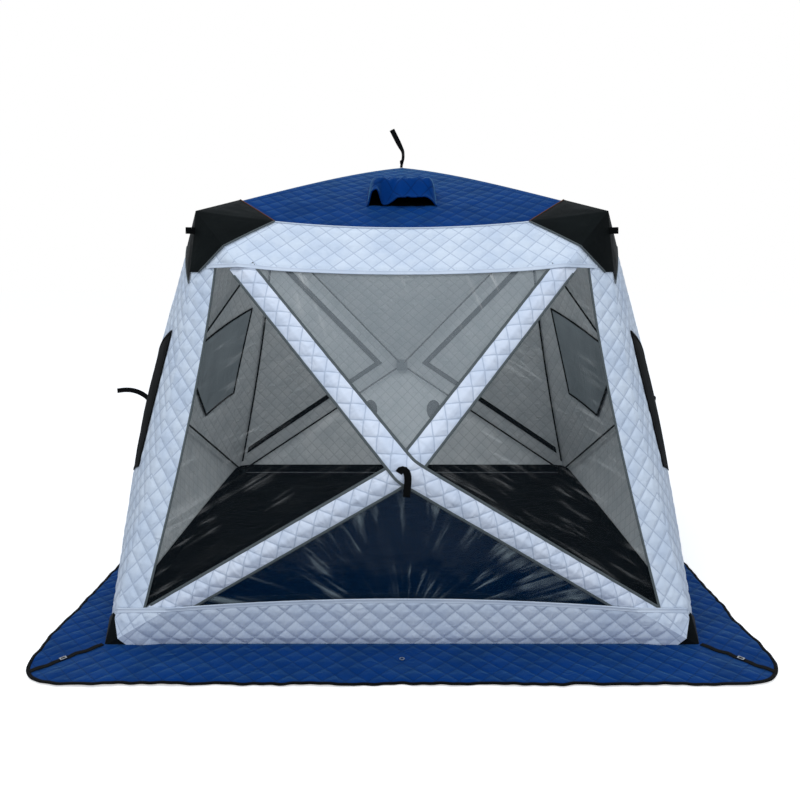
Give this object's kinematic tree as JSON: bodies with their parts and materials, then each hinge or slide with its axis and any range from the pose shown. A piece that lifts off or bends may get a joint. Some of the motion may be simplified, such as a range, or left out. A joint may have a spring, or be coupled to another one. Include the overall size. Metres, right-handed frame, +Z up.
{
  "type": "pop-up ice fishing hut",
  "caption": "Pop-up ice fishing shelter with quilted walls, pull-out hubs, a clear front between crossing strips, a hooded roof vent and a ground skirt.",
  "frame": {"origin": "centre of the floor's underside, on the ground", "axes": "+Z up, -Y out through the clear front wall, +X to the right seen from the front"},
  "size_m": [2.9612, 2.85, 2.2085],
  "materials": {
    "hub_plastic": "satin moulded hub",
    "black_plastic": "moulded pocket end",
    "pole_rod": "drawn glass fibre rod, black",
    "clear_film": "clear flexible film",
    "dark_window": "black-out cover behind clear film",
    "mesh": "black open mesh",
    "zip_tape": "woven zip tape",
    "blue_quilt": "quilted coated cloth, blue",
    "white_quilt": "quilted coated cloth, bluish white, grey lining",
    "black_fabric": "coated cloth, black",
    "webbing": "woven webbing",
    "steel": "plated steel",
    "floor_fabric": "coated cloth, near black"
  },
  "bodies": {
    "root": {"hubs": "hub_plastic", "eave_knuckles": "black_plastic", "foot_cups": "black_plastic", "front_poles": "pole_rod", "right_poles": "pole_rod", "back_poles": "pole_rod", "left_poles": "pole_rod", "roof_poles": "pole_rod", "front_valance": "white_quilt", "front_sill": "white_quilt", "front_side_strips": "white_quilt", "front_cross_over": "white_quilt", "front_cross_under": "white_quilt", "front_window_top": "clear_film", "front_window_left": "clear_film", "front_window_right": "clear_film", "front_window_bottom": "clear_film", "back_top_panel": "white_quilt", "back_bottom_panel": "white_quilt", "back_left_door": "white_quilt", "back_right_door": "white_quilt", "back_zips": "zip_tape", "back_vents": "mesh", "left_plain_panels": "white_quilt", "left_window_panels": "white_quilt", "left_windows": "dark_window", "right_plain_panels": "white_quilt", "right_window_panels": "white_quilt", "right_windows": "dark_window", "roof_front": "blue_quilt", "roof_right": "blue_quilt", "roof_back": "blue_quilt", "roof_left": "blue_quilt", "corner_pockets": "black_fabric", "foot_pockets": "black_fabric", "skirt": "blue_quilt", "skirt_straps": "webbing", "grommets": "steel", "corner_rings": "steel", "floor": "floor_fabric", "vent_hood": "blue_quilt", "vent_mesh": "mesh", "pull_straps": "webbing", "corner_loops": "webbing"}
  },
  "joints": []
}
